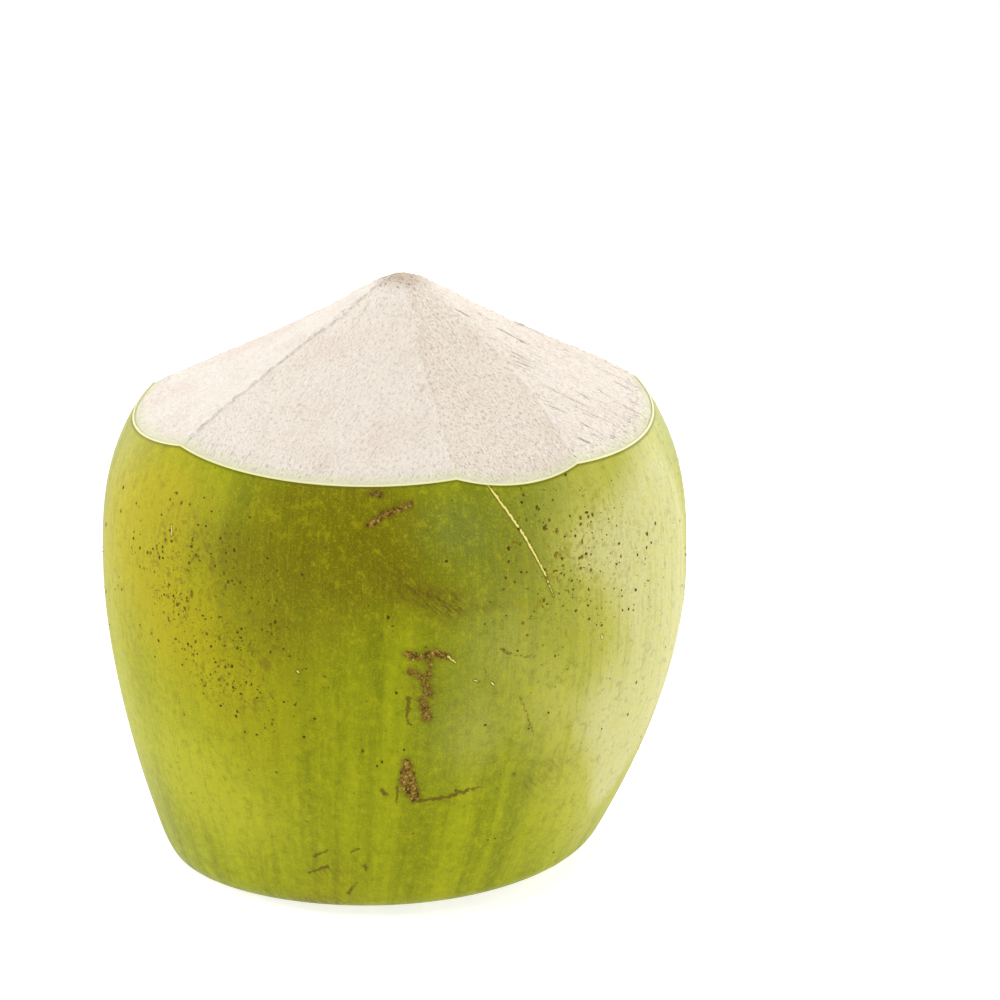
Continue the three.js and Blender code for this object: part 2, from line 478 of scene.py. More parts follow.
def rippleTree():
    wires = newGeometryTree("waxyRipples", "rippleHeight", "rippleWidth", "dentHeight", "dentWidth")
    start = wires["Geometry"]
    position = start.position()
    x, y, z = position.split()
    flat = (x * x + y * y) ** 0.5
    long = start.join(x / flat * skin["rippleRadius"], y / flat * skin["rippleRadius"], z * 0.16)
    shifted = position.vector("ADD", start.join(wires["seed"] * 31.0, 0.0, 0.0))
    ripple = long.vector("SCALE", 1.0 / wires["rippleWidth"]).noise(1.0, 1.5) - 0.5
    dent = shifted.vector("SCALE", 1.0 / wires["dentWidth"]).noise(1.0, 1.0) - 0.5
    calm = start.field("outer") * start.field("fromRim").rise(0.0, 8.0) * z.rise(0.0, 7.0)
    height = (ripple * wires["rippleHeight"] + dent * wires["dentHeight"]) * calm
    return finishTree(wires, start.raised(height))


# Scars on the skin, as paths of (arc, height, half width).
scars = {
    "cork": [
        [(2.2, 76.9, 0.9), (4.6, 76.0, 0.6), (8.0, 76.9, 1.0), (11.0, 76.0, 0.5)],
        [(2.6, 72.6, 0.8), (5.2, 71.0, 0.5), (6.9, 66.5, 0.8)],
        [(7.4, 76.2, 0.2), (6.7, 70.5, 0.45)],
        [(5.4, 65.2, 0.7), (6.6, 60.6, 1.1)],
        [(2.4, 48.4, 0.8), (2.9, 43.0, 1.9), (5.3, 38.0, 1.3)],
        [(-6.7, 107.6, 0.55), (-3.6, 109.8, 0.75), (3.3, 112.3, 0.35)],
        [(-6.5, 114.6, 0.35), (-4.2, 114.2, 0.55)],
        [(122, 63.0, 1.2), (127, 60.0, 1.9), (134, 60.5, 0.6)],
        [(181, 98.0, 0.7), (186, 101.5, 1.6)],
        [(-150, 74.0, 0.5), (-147.5, 60.0, 1.5)],
    ],
    "dark": [
        [(6.4, 36.8, 0.6), (13.0, 37.5, 0.5), (19.0, 39.0, 0.55), (22.0, 39.3, 0.1)],
        [(-3.2, 39.8, 0.7), (-1.6, 38.8, 0.35)],
        [(0.6, 41.2, 0.5), (0.8, 36.9, 0.25)],
        [(2.2, 65.6, 0.5), (2.2, 58.8, 0.35)],
        [(23.6, 76.6, 0.42), (27.0, 74.6, 0.14), (32.0, 73.5, 0.05)],
        [(28.9, 63.3, 0.1), (31.4, 57.6, 0.17), (33.8, 51.8, 0.06)],
        [(-21.2, 18.7, 0.5), (-17.5, 20.8, 0.35)],
        [(-22.9, 13.3, 0.35), (-17.3, 15.7, 0.6)],
        [(-10.6, 20.9, 0.3), (-8.8, 22.0, 0.4)],
        [(-10.9, 7.8, 0.5), (-8.1, 11.6, 0.2)],
        [(-6.6, 16.8, 0.55), (-5.9, 15.7, 0.4)],
        [(-23.3, 29.3, 0.4), (-22.7, 29.2, 0.3)],
        [(30.1, 41.8, 0.35), (30.4, 41.4, 0.3)],
        [(134, 60.2, 0.5), (146, 57.0, 0.35), (150, 52.0, 0.1)],
        [(96, 88.0, 0.12), (101, 77.0, 0.2)],
    ],
    "pale": [
        [(-61.3, 101.0, 0.1), (-61.0, 98.4, 0.2)],
        [(23.0, 115.6, 0.2), (26.7, 109.9, 0.3), (31.0, 102.4, 0.26), (34.9, 93.8, 0.2), (37.1, 87.6, 0.06)],
        [(17.4, 69.4, 0.16), (18.6, 68.9, 0.08)],
        [(21.4, 68.4, 0.18), (22.1, 67.5, 0.12)],
        [(-23.8, 71.1, 0.28), (-23.6, 70.9, 0.25)],
        [(51.1, 74.6, 0.26), (51.3, 73.9, 0.2)],
        [(11.2, 75.9, 0.24), (13.0, 74.2, 0.14)],
    ],
}


def legs(paths):
    # The straight legs of some paths: two ends and their half widths.
    for path in paths:
        for (*a, startWidth), (*b, endWidth) in zip(path, path[1:]):
            yield a, b, startWidth, endWidth


def pathDistance(point, paths):
    # How far a point of the skin is outside the nearest path, in millimetres. Inside, it is negative.
    nearest = None
    for a, b, startWidth, endWidth in legs(paths):
        span = np.subtract(b, a)
        away = point.vector("SUBTRACT", (*a, 0.0))
        share = away.vector("DOT_PRODUCT", (*(span / span.dot(span)), 0.0)).held()
        back = share.node("ShaderNodeVectorMath", {"operation": "SCALE"}, {0: (*span, 0.0), 1: share})
        reach = away.vector("SUBTRACT", back).vector("LENGTH")
        reach = reach - share.math("MULTIPLY_ADD", share, endWidth - startWidth, startWidth)
        nearest = reach if nearest is None else nearest.least(reach)
    return nearest


skinColours = tints({
    "darkGreen": (118, 126, 4), "freshGreen": (151, 157, 8), "olive": (111, 105, 4),
    "yellow": (166, 154, 6), "bloomAndReflection": (115, 122, 42), "pale": (166, 167, 34),
    "waxAndSheen": (181, 178, 88), "paleWaxAndSheen": (214, 210, 180), "streak": (174, 172, 24),
    "grainLight": (190, 184, 18), "grainDark": (98, 100, 2),
    "smear": (98, 78, 16), "cutEdge": (226, 222, 148), "cutInner": (232, 228, 198),
    "rimShadowAndBrowning": (84, 82, 14), "corkDark": (76, 56, 10), "corkLight": (154, 124, 50),
    "corkGlint": (218, 196, 112), "darkLine": (98, 80, 16), "paleScratch": (226, 216, 120),
    "scratchEdge": (84, 78, 12),
})


def skinMaterial():
    material, start = newMaterial("waxySkin", {
        "Specular IOR Level": 0.08, "IOR": 1.45, "Sheen Weight": 0.03, "Sheen Roughness": 0.3,
        "Coat Weight": 0.02, "Coat Roughness": 0.25})
    spot = start.spot()
    x, y, z = spot.split()
    below = ((fruit["bellyHeight"] - z) * (1 / fruit["bellyHeight"])).held()
    x = x + below ** fruit["footLeanPower"] * fruit["footLean"] + middle[0]
    flat = (x * x + y * y) ** 0.5
    arc = start.math("ARCTAN2", x, y * -1.0) * skin["arcRadius"]
    point = start.join(arc, z, 0.0)
    aroundX, aroundY = x / flat * skin["arcRadius"], y / flat * skin["arcRadius"]
    long = start.join(aroundX, aroundY, z * 0.05)

    hues = start.read("hues", "Color")
    yellow, olive, bloomAndReflection = hues.split()
    pale, smear, crowd = start.read("marks", "Vector").split()
    outer, fromRim = start.read("outer"), start.read("fromRim")

    broad = long.noise(0.15, 3.0, 0.55)
    streak = long.noise(0.5, 3.0, 0.6)
    hair = long.noise(2.2, 2.0, 0.65)
    fleck = start.join(aroundX, aroundY, z * 0.22).noise(0.9, 3.0, 0.65)
    cloud = spot.noise(0.06, 3.0, 0.6)
    mottle = spot.noise(0.45, 3.0, 0.65)
    grain = spot.noise(2.0, 3.0, 0.8)
    patchy = (cloud - 0.5) * 0.7 + (streak - 0.5) * 0.6 + (mottle - 0.5) * 0.5 + 1.0

    coat = Coat(skinColours, broad.rise(0.3, 0.7), "darkGreen", "freshGreen")
    # The grey-green zones are partly the skin's waxy bloom and partly painted reflection.
    for zone, name in ((yellow, "yellow"), (olive, "olive"), (bloomAndReflection, "bloomAndReflection"), (pale, "pale")):
        coat.lay(zone * patchy, name)
    # Painted sheen and reflection: the skin is paled where light would glance off its wax, palest where the
    # zone is strongest, partly the wax's own bloom.
    waxAndSheen = hues.other("Alpha")
    coat.lay(waxAndSheen * ((hair - 0.5) * 0.5 + patchy), "waxAndSheen")
    coat.lay((waxAndSheen - 0.7) * (streak * 0.8 + 0.8), "paleWaxAndSheen")
    coat.lay(streak.rise(0.52, 0.75) * (0.26 - z * 0.0013), "streak")
    for wave, low, high, strength, name in (
            (streak, 0.46, 0.28, 0.25, "darkGreen"), (fleck, 0.54, 0.74, 0.34, "streak"),
            (fleck, 0.46, 0.28, 0.3, "darkGreen"), (hair, 0.52, 0.78, 0.2, "streak"),
            (mottle, 0.5, 0.7, 0.28, "grainLight"), (mottle, 0.48, 0.3, 0.28, "grainDark"),
            (grain, 0.52, 0.7, 0.48, "grainLight"), (grain, 0.46, 0.28, 0.48, "grainDark")):
        coat.lay(wave.rise(low, high) * strength, name)
    scuff = start.join((arc - z) * 0.16, (arc + z) * 0.85, 0.0).noise(1.0, 3.0, 0.7)
    scuff = scuff.rise(0.42, 0.6) * 0.75 + fleck.rise(0.46, 0.62) * 0.55
    coat.lay(smear * scuff * (mottle + 0.5), "smear")
    coat.lay(crowd * mottle.rise(0.48, 0.66) * (grain * 0.9 + 0.1), "smear")

    # The scars' edges are torn by a vector that wanders.
    wobble = spot.wander(0.75, 2.0, 0.6)
    rough = point.vector("ADD", wobble.vector("SCALE", 2.2))
    gentle = point.vector("ADD", wobble.vector("SCALE", 0.7))
    crumb = spot.noise(1.5, 3.0, 0.7)
    cork = pathDistance(rough, scars["cork"]) + (crumb - 0.5) * 1.2
    dark = pathDistance(rough, scars["dark"]) + (crumb - 0.5) * 1.0
    scratch = pathDistance(gentle, scars["pale"]) + (crumb - 0.5) * 0.55
    onOutside = outer.rise(0.4, 0.9)
    corkMask = cork.rise(0.3, -0.15) * onOutside
    coat.lay(cork.rise(1.4, 0.0) * 0.4, "smear")
    flake = spot.noise(1.1, 3.0, 0.7)
    bark = Coat(skinColours, flake.rise(0.38, 0.62), "corkDark", "corkLight")
    bark.lay(flake.rise(0.64, 0.72) * cork.rise(0.1, -0.4), "corkGlint")
    bark.lay(cork.rise(-0.3, 0.15) * 0.6, "corkDark")
    coat.lay(dark.rise(0.3, -0.25) * onOutside * 0.85, "darkLine")
    coat.lay(scratch.rise(0.45, 0.05) * onOutside * 0.75, "scratchEdge")
    coat.lay(corkMask, bark.top)
    coat.lay(scratch.rise(0.08, -0.12) * onOutside, "paleScratch")
    # A thin dark line just below the cut rim: painted shadow under the edge, partly browned skin.
    coat.lay(fromRim.rise(0.75, 0.15) * onOutside * 0.6, "rimShadowAndBrowning")
    cutFace = Coat(skinColours, fromRim.rise(-0.08, -0.34), "cutEdge", "cutInner")
    coat.lay(outer.rise(0.9, 0.4), cutFace.top)

    roughness = 0.46 + (cloud - 0.5) * 0.16 + corkMask * 0.35 + (1.0 - outer) * 0.2
    return finishMaterial(material, coat.top, roughness, streak * 0.05 + hair * 0.03 + grain * 0.05)


specks = {"density": 620000.0, "radius": 0.31, "seed": 8}  # density is in specks per square metre
speckColours = tints({"dark": (80, 64, 6), "light": (122, 108, 18)})


def speckTree():
    wires = newGeometryTree("corkySpecks", "density", "radius")
    start, draw = wires["Geometry"], wires["seed"].draw
    position = start.position()
    crowd = start.field("marks", "FLOAT_VECTOR").split()[2]
    patchy = position.noise(0.16, 1.0).rise(0.42, 0.62)
    density = crowd * start.field("outer") * wires["density"] * (patchy * 0.75 + 0.25)
    points = start.crowd(density, wires["seed"])
    wide = (draw(0.0, 1.0, 1.0) ** 3.0 * 1.15 + 0.45) * wires["radius"]
    scale = start.join(wide, wide * draw(0.6, 1.4, 2.0), wide * 0.25)
    placed = points.strewn(start.ball(9, 5), points.other("Rotation"), scale)
    jitter = position.wander(1.6, 1.0, 0.5).vector("SCALE", 0.00035)
    return finishTree(wires, placed.whole().moved(jitter))


def speckMaterial():
    material, start = newMaterial("corkySpecks", {"Specular IOR Level": 0.1})
    spot = start.spot()
    coat = Coat(speckColours, spot.noise(0.35, 2.0, 0.6).rise(0.4, 0.64), "dark", "light")
    grain = spot.noise(4.0, 2.0)
    return finishMaterial(material, coat.top, 0.55 + grain * 0.2, grain * 0.06)


crumbs = {"perSquareMillimetre": 2.4, "spread": 0.55, "radius": 0.38, "flatness": 0.45, "seed": 17}


def makeCrumbPoints(shell):
    # Loose points on the skin along the cork scars, each with the skin's direction there.
    surface = BVHTree.FromPolygons([corner.co for corner in shell.vertices],
                                   [face.vertices for face in shell.polygons])
    draw = np.random.default_rng(crumbs["seed"])
    places = []
    for a, b, startWidth, endWidth in legs(scars["cork"]):
        length = math.dist(a, b)
        ahead = np.subtract(b, a) / length
        count = round(length * (startWidth + endWidth) * crumbs["perSquareMillimetre"])
        share = draw.random(count)
        side = draw.normal(0, crumbs["spread"], count) * (startWidth + (endWidth - startWidth) * share)
        arc = a[0] + ahead[0] * length * share - ahead[1] * side
        height = a[1] + ahead[1] * length * share + ahead[0] * side
        x, y = skinPlan(height, arc / skin["arcRadius"])
        places.append((np.stack([x, y, height], -1) - middle) / 1000)
    found = [surface.find_nearest(Vector(spot)) for spot in np.concatenate(places)]
    mesh = bpy.data.meshes.new("scar_crumbs")
    mesh.from_pydata([location for location, _, _, _ in found], [], [])
    writeAttribute(mesh, "away", np.array([normal for _, normal, _, _ in found]))
    return newObject("scar_crumbs", mesh)


def crumbTree():
    wires = newGeometryTree("corkCrumbs", "radius", "flatness")
    start, draw = wires["Geometry"], wires["seed"].draw
    points = start.node("GeometryNodeMeshToPoints", None, {"Mesh": start})
    loose = start.join(draw(-1.0, 1.0, 1.0), draw(-1.0, 1.0, 2.0), draw(-1.0, 1.0, 3.0))
    away = start.field("away", "FLOAT_VECTOR").vector("ADD", loose.vector("SCALE", 0.3))
    turned = start.turned("X", "Z", loose, start.turned("Z", "AUTO", away))
    wide = draw(0.45, 1.25, 4.0) * wires["radius"]
    scale = start.join(wide * draw(1.0, 1.7, 5.0), wide, wide * wires["flatness"])
    placed = points.strewn(start.ball(7, 4), turned, scale)
    jitter = start.position().wander(2.2, 2.0, 0.5).vector("SCALE", 0.0005)
    return finishTree(wires, placed.whole().moved(jitter))


def crumbMaterial():
    material, start = newMaterial("corkCrumbs", {"Specular IOR Level": 0.1})
    spot = start.spot()
    flake = spot.noise(0.9, 3.0, 0.7)
    coat = Coat(skinColours, flake.rise(0.36, 0.6), "corkDark", "corkLight")
    coat.lay(flake.rise(0.6, 0.7), "corkGlint")
    grain = spot.noise(3.5, 2.0)
    return finishMaterial(material, coat.top, 0.65 + grain * 0.2, grain * 0.08)


skinPiece = makeSkin()
growMesh(skinPiece, rippleTree(), skin, skinMaterial())
speckPiece = newObject("skin_specks", skinPiece.data.copy())
growMesh(speckPiece, speckTree(), specks, speckMaterial())
crumbPiece = makeCrumbPoints(skinPiece.data)
growMesh(crumbPiece, crumbTree(), crumbs, crumbMaterial())
place(skinPiece)
place(speckPiece)
place(crumbPiece)


husk = {
    "columnsPerDegree": 1.9, "rows": 130, "rowPower": 1.12, "edgeOverlap": 0.12, "edgeDepth": 1.0,
    "edgeBand": 0.5, "floorDrop": 9.0, "floorShare": 0.975,
    "nubHeight": 0.85, "nubWidth": 1.2, "nubLength": 2.0, "grooveHeight": 0.2, "grooveWidth": 1.3,
    "grooveLength": 19.0, "burrHeight": 0.6, "seed": 5, "grainShift": 170.0,
    "strokeShades": [0.05, 0.36, 0.85, 0.42, 0.5, 0.3, 0.6, 0.2],  # how beige and rough each stroke is
    "strokeLines": [0.15, 0.3, 0.15, 1.0, 0.4, 0.6, 0.3, 0.5],  # how strongly the blade drew lines on it
    "ridgeFray": [0.3, 1.0, 0.35, 0.3, 0.7, 0.4, 0.8, 0.5],  # how torn each ridge is
}


def makeHusk():
    columns = makeColumns(husk["columnsPerDegree"])
    edgeShare = 1 - (skin["edgeWidth"] - husk["edgeOverlap"]) / columns["reach"]
    edge = coneRing(columns, edgeShare, fruit["huskStep"])
    under = edge - [0, 0, husk["edgeDepth"]]
    floor = np.array([fruit["tipOffsetX"], 0, edge[:, 2].min() - husk["floorDrop"]])
    deep = under.copy()
    deep[:, 2] = floor[2]
    deep[:, :2] = floor[:2] + (deep[:, :2] - floor[:2]) * husk["floorShare"]
    rings = [floor + (deep - floor) * share for share in (0.3, 0.7, 1.0)] + [under, edge]
    hidden = len(rings)
    shares = [np.ones(len(edge))] * hidden
    huskShare = 1 - (skin["edgeWidth"] + husk["edgeBand"]) / columns["reach"]
    for row in range(husk["rows"]):
        share = huskShare * (1 - row / husk["rows"]) ** husk["rowPower"]
        rings.append(coneRing(columns, share, fruit["huskStep"] * share))
        shares.append(share)
    rings, shares = np.stack(rings), np.stack(shares)
    reach, stroke = columns["reach"], columns["stroke"]
    # Where a ridge is near: the way across to it, signed, and how torn it is.
    widths = np.radians([following["azimuth"] - ridge["azimuth"] for ridge, following in strokes])[stroke]
    nearer = columns["across"] < 0.5
    wedge = np.where(nearer, columns["across"], columns["across"] - 1) * widths
    attributes = {
        "topSide": (np.arange(len(rings)) >= hidden)[:, None], "fromTip": reach * shares,
        "fromEdge": reach * (1 - shares), "shade": np.array(husk["strokeShades"])[stroke],
        "lined": np.array(husk["strokeLines"])[stroke], "fromRidge": wedge * reach * shares,
        "fray": np.array(husk["ridgeFray"])[np.where(nearer, stroke, (stroke + 1) % len(ridges))],
    }
    made = loopMesh("cut_husk", rings, startPole=floor, endPole=[fruit["tipOffsetX"], 0, fruit["tipHeight"]],
                    attributes={key: np.broadcast_to(value, shares.shape).ravel()
                                for key, value in attributes.items()})
    # The grain map gives each stroke its own straight coordinates, across and along the cut.
    mesh = made.data
    corners = np.empty(len(mesh.loops), np.int64)
    mesh.loops.foreach_get("vertex_index", corners)
    places = np.empty(len(mesh.vertices) * 3, np.float32)
    mesh.vertices.foreach_get("co", places)
    fromAxis = places.reshape(-1, 3) * 1000 + middle - [fruit["tipOffsetX"], 0, 0]
    totals = np.array([polygon.loop_total for polygon in mesh.polygons])
    cornerStroke = np.concatenate([np.tile(stroke, len(rings) - 1), stroke.repeat(2)]).repeat(totals)
    sums = [ridge["azimuth"] + following["azimuth"] + ridge["swing"] + following["swing"]
            for ridge, following in strokes]
    heading = np.array([math.radians(total / 2) for total in sums])[cornerStroke]
    east, north = fromAxis[corners, 0], fromAxis[corners, 1]
    along = east * np.sin(heading) - north * np.cos(heading)
    across = east * np.cos(heading) + north * np.sin(heading) + husk["grainShift"] * cornerStroke
    layer = mesh.uv_layers.new(name="grain")
    layer.uv.foreach_set("vector", np.stack([across, along], -1).astype(np.float32).ravel())
    # The way down the cut, for the fibres that lie along it.
    length = np.maximum(np.hypot(fromAxis[:, 0], fromAxis[:, 1]), 0.01)
    down = [fromAxis[:, 0] / length, fromAxis[:, 1] / length, np.full(len(length), -fruit["coneSlope"])]
    writeAttribute(mesh, "downhill", np.stack(down, -1))
    return made


def tornRidge(start, along, fromRidge):
    # How ragged the ridge is along the cut, and the way across to its wandering line.
    tear = start.join(along / 3.0, 2.0, 0.0).noise(1.0, 3.0, 0.65)
    sway = start.join(along / 10.0, 6.0, 0.0).noise(1.0, 1.0)
    return tear, fromRidge + (tear - 0.5) * 3.6 + (sway - 0.5) * 4.0


def shaveTree():
    wires = newGeometryTree("knifeCut", "nubHeight", "nubWidth", "nubLength", "grooveHeight",
                            "grooveWidth", "grooveLength", "burrHeight")
    start = wires["Geometry"]
    across, along, _ = start.field("grain", "FLOAT_VECTOR").split()
    across = across + wires["seed"] * 43.0
    nub = start.join(across / wires["nubWidth"], along / wires["nubLength"], 0.0).noise(1.0, 2.0, 0.6)
    groove = start.join(across / wires["grooveWidth"], along / wires["grooveLength"], 9.0).noise(1.0, 2.0)
    swell = start.join(across / 9.0, along / 13.0, 4.0).noise(1.0, 1.0)
    calm = (start.field("topSide") * start.field("fromTip").rise(0.8, 7.0)
            * start.field("fromEdge").rise(1.5, 3.5))
    tear, toRidge = tornRidge(start, along, start.field("fromRidge"))
    burr = abs(toRidge).rise(1.5, 0.1) * start.field("fray") * tear.rise(0.38, 0.6)
    height = ((nub - 0.5) * wires["nubHeight"] * (start.field("shade") * 0.6 + 0.6)
              + (groove - 0.5) * wires["grooveHeight"] + (swell - 0.5) * 0.5 + burr * wires["burrHeight"])
    return finishTree(wires, start.raised(height * calm))


huskColours = tints({
    "cream": (251, 241, 229), "beige": (240, 226, 208), "hollowShade": (206, 185, 163),
    "rimBand": (230, 229, 190), "tick": (146, 138, 96), "tip": (212, 188, 160),
    "tipDark": (96, 80, 66), "groove": (164, 145, 129), "blush": (241, 223, 208),
    "glint": (255, 249, 242),
})


def huskMaterial():
    material, start = newMaterial("freshHusk", {
        "Specular IOR Level": 0.2, "Sheen Weight": 0.1, "Sheen Roughness": 0.5})
    spot = start.spot()
    across, along, _ = start.node("ShaderNodeUVMap", {"uv_map": "grain"}).split()
    fromEdge, fromTip, shade, fray, lined = [
        start.read(name) for name in ("fromEdge", "fromTip", "shade", "fray", "lined")]
    nub = start.join(across / 0.62, along / 1.05, 0.0).noise(1.0, 3.0, 0.65)
    thread = start.join(across / 0.5, along / 6.0, 3.0).noise(1.0, 2.0, 0.6)
    slit = start.join(across / 1.6, along / 30.0, 7.0).noise(1.0, 1.0, 0.4)
    gate = start.join(across / 4.0, along / 12.0, 5.0).noise(1.0, 1.0).rise(0.5, 0.6)
    lines = abs(slit - 0.5).rise(0.022, 0.004) * gate * lined
    patch = spot.noise(0.07, 3.0, 0.6)
    crumb = spot.noise(2.4, 2.0, 0.7)
    grit = start.join(across / 0.34, along / 0.42, 5.0).noise(1.0, 2.0, 0.6)

    coat = Coat(huskColours, shade * 0.7 + (patch - 0.5) * 0.8, "cream", "beige")
    coat.lay(patch.rise(0.5, 0.7) * 0.5, "blush")
    # Painted shade in the hollows of the nubs and the grit, and painted highlights on their tops, as light
    # would fall on the cut's relief.
    coat.lay(nub.rise(0.5, 0.32) * (shade * 0.75 + 0.32), "hollowShade")
    coat.lay(nub.rise(0.53, 0.68) * 0.7, "glint")
    coat.lay(grit.rise(0.46, 0.3) * (shade * 0.85 + 0.1), "hollowShade")
    coat.lay(grit.rise(0.54, 0.7) * 0.5, "glint")
    coat.lay(thread.rise(0.36, 0.24) * (lined * 0.35 + 0.08), "groove")
    coat.lay(lines * 0.8, "groove")
    tear, toRidge = tornRidge(start, along, start.read("fromRidge"))
    torn = fray * tear.rise(0.35, 0.55)
    # A thin groove beside the torn ridge: it dips in the bump, and its dark colour is painted shadow from
    # the ridge's burr. On the ridge itself, a painted highlight.
    ridgeShadowGroove = abs(toRidge - 1.0).rise(0.6, 0.1) * torn
    coat.lay(ridgeShadowGroove * 0.3, "groove")
    coat.lay(abs(toRidge).rise(0.7, 0.1) * torn * 0.6, "glint")
    coat.lay(fromEdge.rise(4.6, 0.8) * 0.8, "rimBand")
    tick = start.join(across / 0.4, along / 1.5, 12.0).noise(1.0, 1.0)
    ticks = tick.rise(0.6, 0.68) * fromEdge.rise(8.0, 4.5) * fromEdge.rise(0.8, 1.8)
    coat.lay(ticks * (lined * 0.6 + 0.18), "tick")
    coat.lay(fromTip.rise(8.0, 2.5) * 0.65, "tip")
    coat.lay(spot.noise(0.9, 3.0, 0.7).rise(0.57, 0.66) * fromTip.rise(9.0, 5.0) * 0.8, "tipDark")
    height = (nub * 0.95 + thread * 0.1 + crumb * 0.15 + grit * 0.32
              - ticks * 0.1 - lines * 0.12 - ridgeShadowGroove * 0.15)
    return finishMaterial(material, coat.top, 0.75 + crumb * 0.15, height)


fibres = {"density": 190000.0, "length": 1.9, "width": 0.16, "seed": 12}  # density is per square metre


def fibreTree():
    wires = newGeometryTree("tornFibres", "density", "length", "width")
    start, draw = wires["Geometry"], wires["seed"].draw
    calm = start.field("topSide") * start.field("fromEdge").rise(1.6, 3.0)
    ragged = start.field("fromTip").rise(9.0, 4.0) * 1.6
    density = calm * (start.field("shade") * 0.75 + 0.3 + ragged) * wires["density"]
    points = start.crowd(density, wires["seed"])
    # One torn fibre: a short bent line, thick in its middle and drawn out at both ends.
    line = start.node("GeometryNodeCurvePrimitiveLine", None,
                      {"Start": (-millimetre / 2, 0, 0), "End": (millimetre / 2, 0, 0)})
    line = start.node("GeometryNodeResampleCurve", None, {"Curve": line, "Count": 5})
    share = start.node("GeometryNodeSplineParameter", None, None, "Factor")
    arch = share * (1.0 - share) * 4.0
    line = line.moved(start.join(0.0, arch * 0.00006, arch * 0.00011))
    line = start.node("GeometryNodeSetCurveRadius", None, {"Curve": line, "Radius": arch * 0.85 + 0.15})
    profile = start.node("GeometryNodeCurvePrimitiveCircle", {"mode": "RADIUS"},
                         {"Resolution": 5, "Radius": millimetre / 2}, "Curve")
    fibre = start.node("GeometryNodeCurveToMesh", None,
                       {"Curve": line, "Profile Curve": profile, "Fill Caps": True})
    loose = start.join(draw(-0.28, 0.28, 3.0), draw(-0.28, 0.28, 4.0), draw(-0.1, 0.14, 5.0))
    downhill = start.field("downhill", "FLOAT_VECTOR").vector("ADD", loose)
    turned = start.turned("X", "Z", downhill, start.turned("Z", "AUTO", points.other("Normal")))
    thick = draw(0.55, 1.5, 7.0) * wires["width"]
    scale = start.join(draw(0.45, 1.6, 6.0) * wires["length"], thick, thick * 0.7)
    placed = points.strewn(fibre, turned, scale)
    return finishTree(wires, start.node("GeometryNodeSetShadeSmooth", None, {"Geometry": placed}))


def fibreMaterial():
    material, start = newMaterial("huskFibres", {"Specular IOR Level": 0.25, "Sheen Weight": 0.15})
    spot = start.spot()
    tone = spot.noise(0.55, 2.0, 0.7)
    coat = Coat(huskColours, tone.rise(0.36, 0.64), "beige", "cream")
    nearTip = start.read("fromTip").rise(8.0, 4.0) * 0.6
    coat.lay(nearTip, Coat(huskColours, tone.rise(0.4, 0.6), "tipDark", "tip").top)
    grain = spot.noise(3.0, 2.0)
    return finishMaterial(material, coat.top, 0.7 + grain * 0.15, grain * 0.05)


huskPiece = makeHusk()
growMesh(huskPiece, shaveTree(), husk, huskMaterial())
fibrePiece = newObject("husk_fibres", huskPiece.data.copy())
growMesh(fibrePiece, fibreTree(), fibres, fibreMaterial())
place(huskPiece)
place(fibrePiece)


foot = {
    "columnsPerDegree": 1.0, "rings": 46, "radius": 47.0, "thickness": 3.0, "overlap": 0.1,
    "reliefHeight": 0.35, "seed": 21,
}
footColours = tints({
    "cream": (228, 214, 186), "tan": (196, 168, 128), "brown": (150, 116, 78),
    "bundle": (128, 96, 60), "rim": (206, 210, 150),
})


def makeFoot():
    columns = makeColumns(foot["columnsPerDegree"])
    outline = skinRing(columns, 0.0, skin["innerInset"] - foot["overlap"])
    centre = np.array([-fruit["footLean"] - fruit["heelLean"], 0.0, 0.0])
    top = centre + [0, 0, foot["thickness"]]
    shares = np.linspace(0, 1, foot["rings"] + 1)[1:]
    under = [centre + (outline - centre) * share for share in shares]
    over = [top + (outline - centre) * share for share in (1.0, 0.6, 0.2)]
    below = np.concatenate([np.ones(len(under)), np.zeros(len(over))]).repeat(len(outline))
    fromRim = np.concatenate([(1 - shares) * foot["radius"], np.zeros(len(over))]).repeat(len(outline))
    return loopMesh("foot_cut", np.stack(under + over), startPole=centre, endPole=top,
                    attributes={"below": below, "fromRim": fromRim})


def footTree():
    wires = newGeometryTree("footCut", "reliefHeight")
    start = wires["Geometry"]
    position = start.position()
    x, y, _ = position.split()
    chatter = start.join((x * 0.9 + y * 0.4) / 2.4 + wires["seed"] * 17.0, (y * 0.9 - x * 0.4) / 22.0, 0.0)
    pits = position.noise(0.7, 2.0, 0.6)
    height = (chatter.noise(1.0, 2.0) * 0.6 + pits * 0.6) * wires["reliefHeight"] * start.field("below")
    height = height * start.field("fromRim").rise(0.4, 2.5) * millimetre
    return finishTree(wires, start.moved(start.join(0.0, 0.0, height)))


def footMaterial():
    material, start = newMaterial("footHusk", {"Specular IOR Level": 0.25, "Sheen Weight": 0.1})
    spot = start.spot()
    stain = spot.noise(0.045, 4.0, 0.65)
    ends = start.node("ShaderNodeTexVoronoi", {"voronoi_dimensions": "3D", "feature": "F1"},
                      {"Vector": spot, "Scale": 0.55, "Randomness": 1.0}, "Distance")
    grain = spot.noise(1.6, 3.0, 0.7)
    coat = Coat(footColours, stain.rise(0.36, 0.66), "cream", "tan")
    coat.lay(stain.rise(0.6, 0.78) * 0.7, "brown")
    coat.lay(ends.rise(0.34, 0.2) * grain.rise(0.4, 0.6) * 0.75, "bundle")
    coat.lay(start.read("fromRim").rise(4.5, 0.8) * 0.8, "rim")
    return finishMaterial(material, coat.top, 0.75 + grain * 0.15, grain * 0.12 - ends * 0.1)


footPiece = makeFoot()
growMesh(footPiece, footTree(), foot, footMaterial())
place(footPiece)


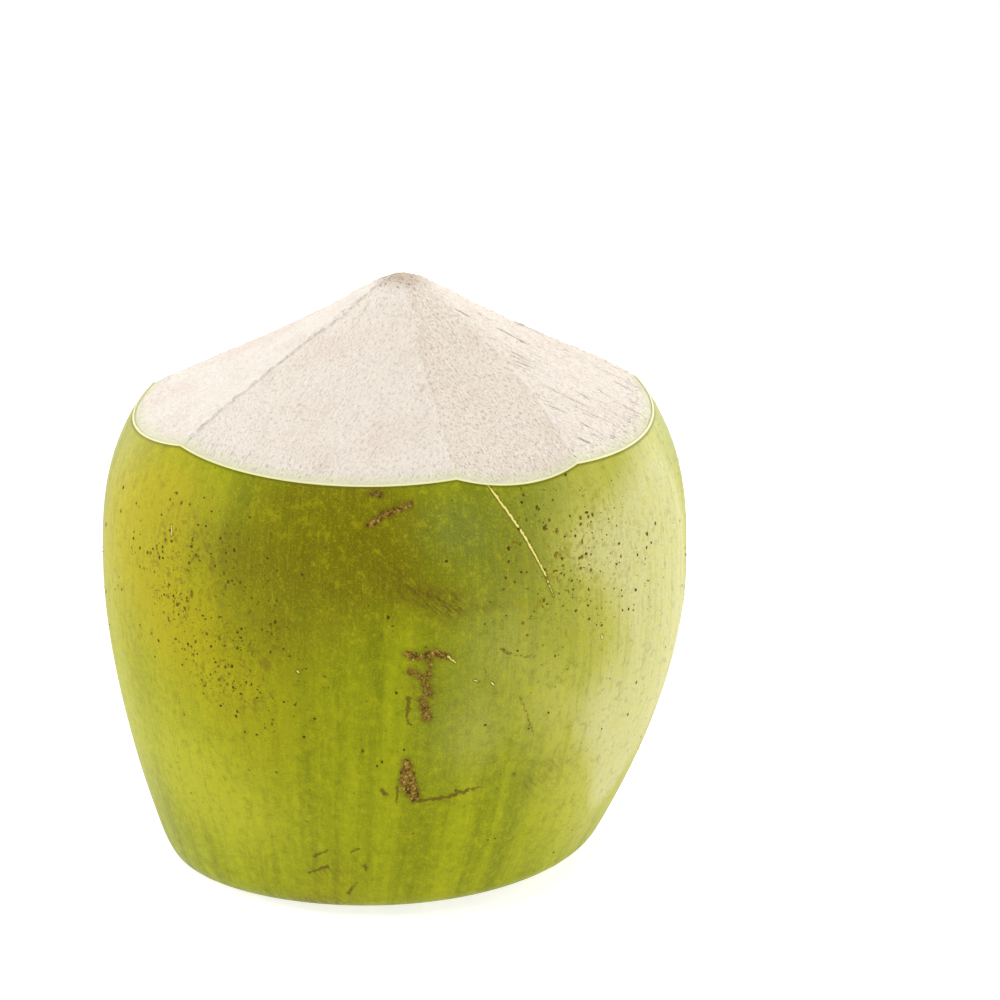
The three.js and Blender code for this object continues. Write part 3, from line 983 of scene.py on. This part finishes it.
studio = {
    "floorSize": 9000, "lens": 120.0, "sensor": 36.0, "elevation": 18.5, "distance": 862.4,
    "targetHeight": 75, "targetPixel": (394.8, 560.4), "imageSize": 1000,
}
panels = {  # place and size in metres, the height that the panel faces, and its power
    "leftPanel": ((-1.15, -0.05, 0.42), (0.9, 0.8), 0.07, 7.0),
    "rightPanel": ((1.15, -0.25, 0.45), (0.8, 0.9), 0.07, 9.0),
    "rightRim": ((0.75, 0.95, 0.40), (0.7, 0.9), 0.09, 8.5),
    "leftRim": ((-0.8, 0.9, 0.40), (0.6, 0.9), 0.09, 5.0),
    "topPanel": ((-0.3, -0.35, 1.25), (1.0, 1.0), 0.12, 8.8),
}


def makeFloor():
    half = studio["floorSize"] * millimetre / 2
    mesh = bpy.data.meshes.new("paleFloor")
    mesh.from_pydata([(-half, -half, 0), (half, -half, 0), (half, half, 0), (-half, half, 0)], [],
                     [(0, 1, 2, 3)])
    material, _ = newMaterial("paleFloor", {
        "Roughness": 0.9, "Specular IOR Level": 0.0, "Base Color": (0.5, 0.5, 0.5, 1),
        "Emission Color": (1.0, 1.0, 1.0, 1), "Emission Strength": 0.75})
    mesh.materials.append(material)
    newObject("paleFloor", mesh)


def makeWorld():
    world = bpy.data.worlds.new("studioWhite")
    bpy.context.scene.world = world
    world.use_nodes = True
    back = world.node_tree.nodes["Background"]
    back.inputs["Color"].default_value = (0.985, 0.99, 1.0, 1)
    strength = Wire(world.node_tree).node("ShaderNodeLightPath", None, None, "Is Camera Ray") * 0.65 + 0.35
    world.node_tree.links.new(strength.socket, back.inputs["Strength"])


def makePanel(name, spot, size, aimHeight, power):
    lamp = bpy.data.lights.new(name, "AREA")
    lamp.shape, lamp.size, lamp.size_y = "RECTANGLE", size[0], size[1]
    lamp.energy = power
    made = newObject(name, lamp)
    made.location = spot
    made.rotation_euler = (Vector((0, 0, aimHeight)) - Vector(spot)).to_track_quat("-Z", "Y").to_euler()


def makeCamera():
    camera = bpy.data.cameras.new("photoCamera")
    camera.lens, camera.sensor_width = studio["lens"], studio["sensor"]
    camera.clip_start, camera.clip_end = 0.01, 50
    made = newObject("photoCamera", camera)
    angle = math.radians(studio["elevation"])
    ahead = Vector((0, math.cos(angle), -math.sin(angle)))
    side, up = Vector((1, 0, 0)), Vector((0, math.sin(angle), math.cos(angle)))
    distance = studio["distance"] * millimetre
    target = Vector((0, 0, studio["targetHeight"] * millimetre))
    made.location = target - ahead * distance
    # The fruit stands left of the picture's middle and below it, so the camera aims past it.
    focal = studio["lens"] / studio["sensor"] * studio["imageSize"]
    right = (studio["imageSize"] / 2 - studio["targetPixel"][0]) / focal * distance
    rise = (studio["targetPixel"][1] - studio["imageSize"] / 2) / focal * distance
    aim = target + side * right + up * rise
    made.rotation_euler = (aim - made.location).to_track_quat("-Z", "Y").to_euler()
    bpy.context.scene.camera = made


makeFloor()
makeWorld()
for name, values in panels.items():
    makePanel(name, *values)
makeCamera()
bpy.context.scene.view_settings.view_transform = "Standard"
print("studio ready")
